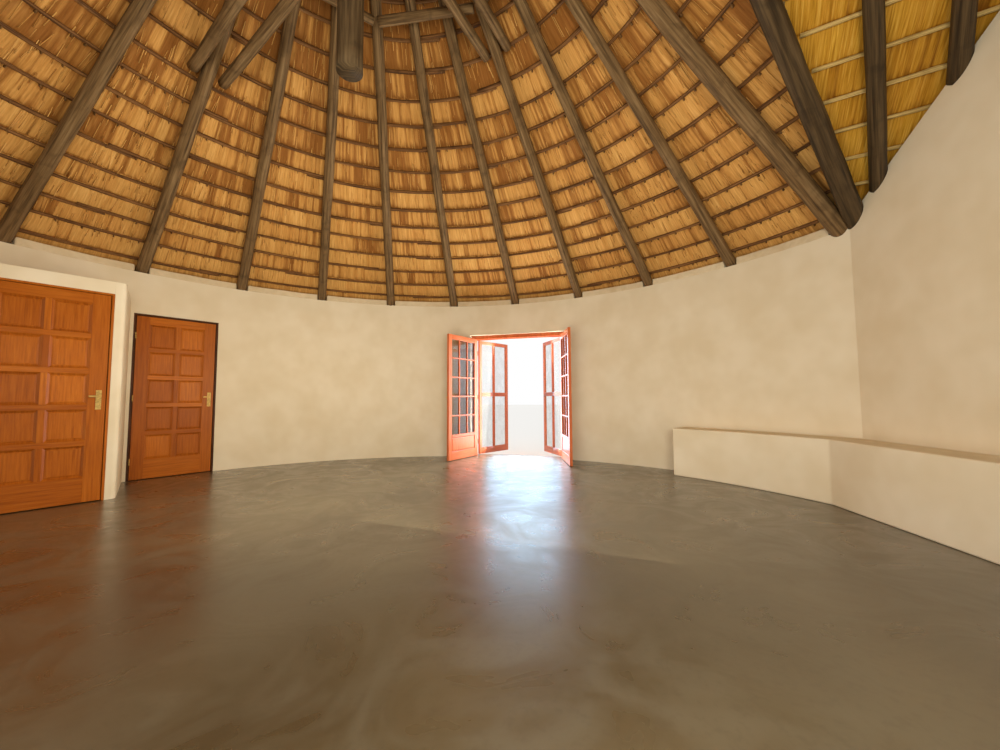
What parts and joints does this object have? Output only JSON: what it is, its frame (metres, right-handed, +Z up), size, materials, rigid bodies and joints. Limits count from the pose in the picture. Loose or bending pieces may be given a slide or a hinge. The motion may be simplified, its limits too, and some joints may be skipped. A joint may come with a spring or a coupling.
{
  "type": "rondavel hut",
  "caption": "Round plastered one-room hut with a thatched pole roof, a small side gable, glazed double doors with outer screens, a panelled side door and a walled washroom corner.",
  "frame": {"origin": "centre of the ring wall at ground level", "axes": "+Z up, -Y out through the glazed double doors, +X towards the washroom side"},
  "size_m": [10.1833, 10.4643, 6.2412],
  "materials": {
    "plaster": "cream limewash on hand-floated plaster",
    "screed": "steel-floated cement screed, waxed",
    "gum_pole": "peeled gum poles, weathered grey-brown",
    "lath": "thin split laths",
    "reed": "combed golden reed",
    "mortar": "trowelled mortar",
    "door_timber": "satin varnish",
    "dark_timber": "dark stained",
    "pane": "clear",
    "mesh": "fine woven insect mesh",
    "lock_brass": "worn polish"
  },
  "bodies": {
    "hut": {"front_left_wall": "plaster", "front_right_wall": "plaster", "side_wall": "plaster", "back_wall": "plaster", "wall_over_glazed_doors": "plaster", "wall_over_side_door": "plaster", "gable_wall": "plaster", "beam_filling": "plaster", "bench": "plaster", "washroom_pier": "plaster", "washroom_wall": "plaster", "washroom_head": "plaster", "washroom_ceiling": "plaster", "floor": "screed", "door_sills": "screed", "main_rafters": "gum_pole", "short_rafters": "gum_pole", "jack_rafters": "gum_pole", "valley_poles": "gum_pole", "gable_rafters": "gum_pole", "ridge_pole": "gum_pole", "king_post": "gum_pole", "tie_poles": "gum_pole", "collar_poles": "gum_pole", "laths": "lath", "gable_laths": "lath", "thatch": "reed", "gable_thatch": "reed", "peak_cap": "mortar", "gable_cap": "mortar", "glazed_door_frame": "door_timber", "side_door_frame": "dark_timber", "washroom_door_frame": "dark_timber"},
    "washroom_leaf": {"washroom_door": "door_timber", "washroom_door_lock": "lock_brass"},
    "side_leaf": {"side_door": "door_timber", "side_door_lock": "lock_brass"},
    "left_glazed": {"left_glazed_leaf": "door_timber", "left_panes": "pane", "lever_handle": "lock_brass"},
    "right_glazed": {"right_glazed_leaf": "door_timber", "right_panes": "pane"},
    "left_screen": {"left_screen_leaf": "door_timber", "left_mesh": "mesh"},
    "right_screen": {"right_screen_leaf": "door_timber", "right_mesh": "mesh"}
  },
  "joints": [
    {"name": "washroom_door_hinge", "type": "hinge", "parent": "hut", "child": "washroom_leaf", "pos_m": [3.73401, -0.08078, 1.1], "axis": [0, 0, -1], "range_deg": [0, 100]},
    {"name": "side_door_hinge", "type": "hinge", "parent": "hut", "child": "side_leaf", "pos_m": [4.18981, -1.51956, 1.1], "axis": [0, 0, -1], "range_deg": [0, 85]},
    {"name": "left_glazed_hinge", "type": "hinge", "parent": "hut", "child": "left_glazed", "pos_m": [0.762, -4.494, 1.1], "axis": [0, 0, -1], "range_deg": [-108, 4]},
    {"name": "right_glazed_hinge", "type": "hinge", "parent": "hut", "child": "right_glazed", "pos_m": [-0.762, -4.494, 1.1], "axis": [0, 0, 1], "range_deg": [-105, 7]},
    {"name": "left_screen_hinge", "type": "hinge", "parent": "hut", "child": "left_screen", "pos_m": [0.762, -4.626, 1.1], "axis": [0, 0, 1], "range_deg": [-62, 33]},
    {"name": "right_screen_hinge", "type": "hinge", "parent": "hut", "child": "right_screen", "pos_m": [-0.762, -4.626, 1.1], "axis": [0, 0, -1], "range_deg": [-57, 38]}
  ]
}
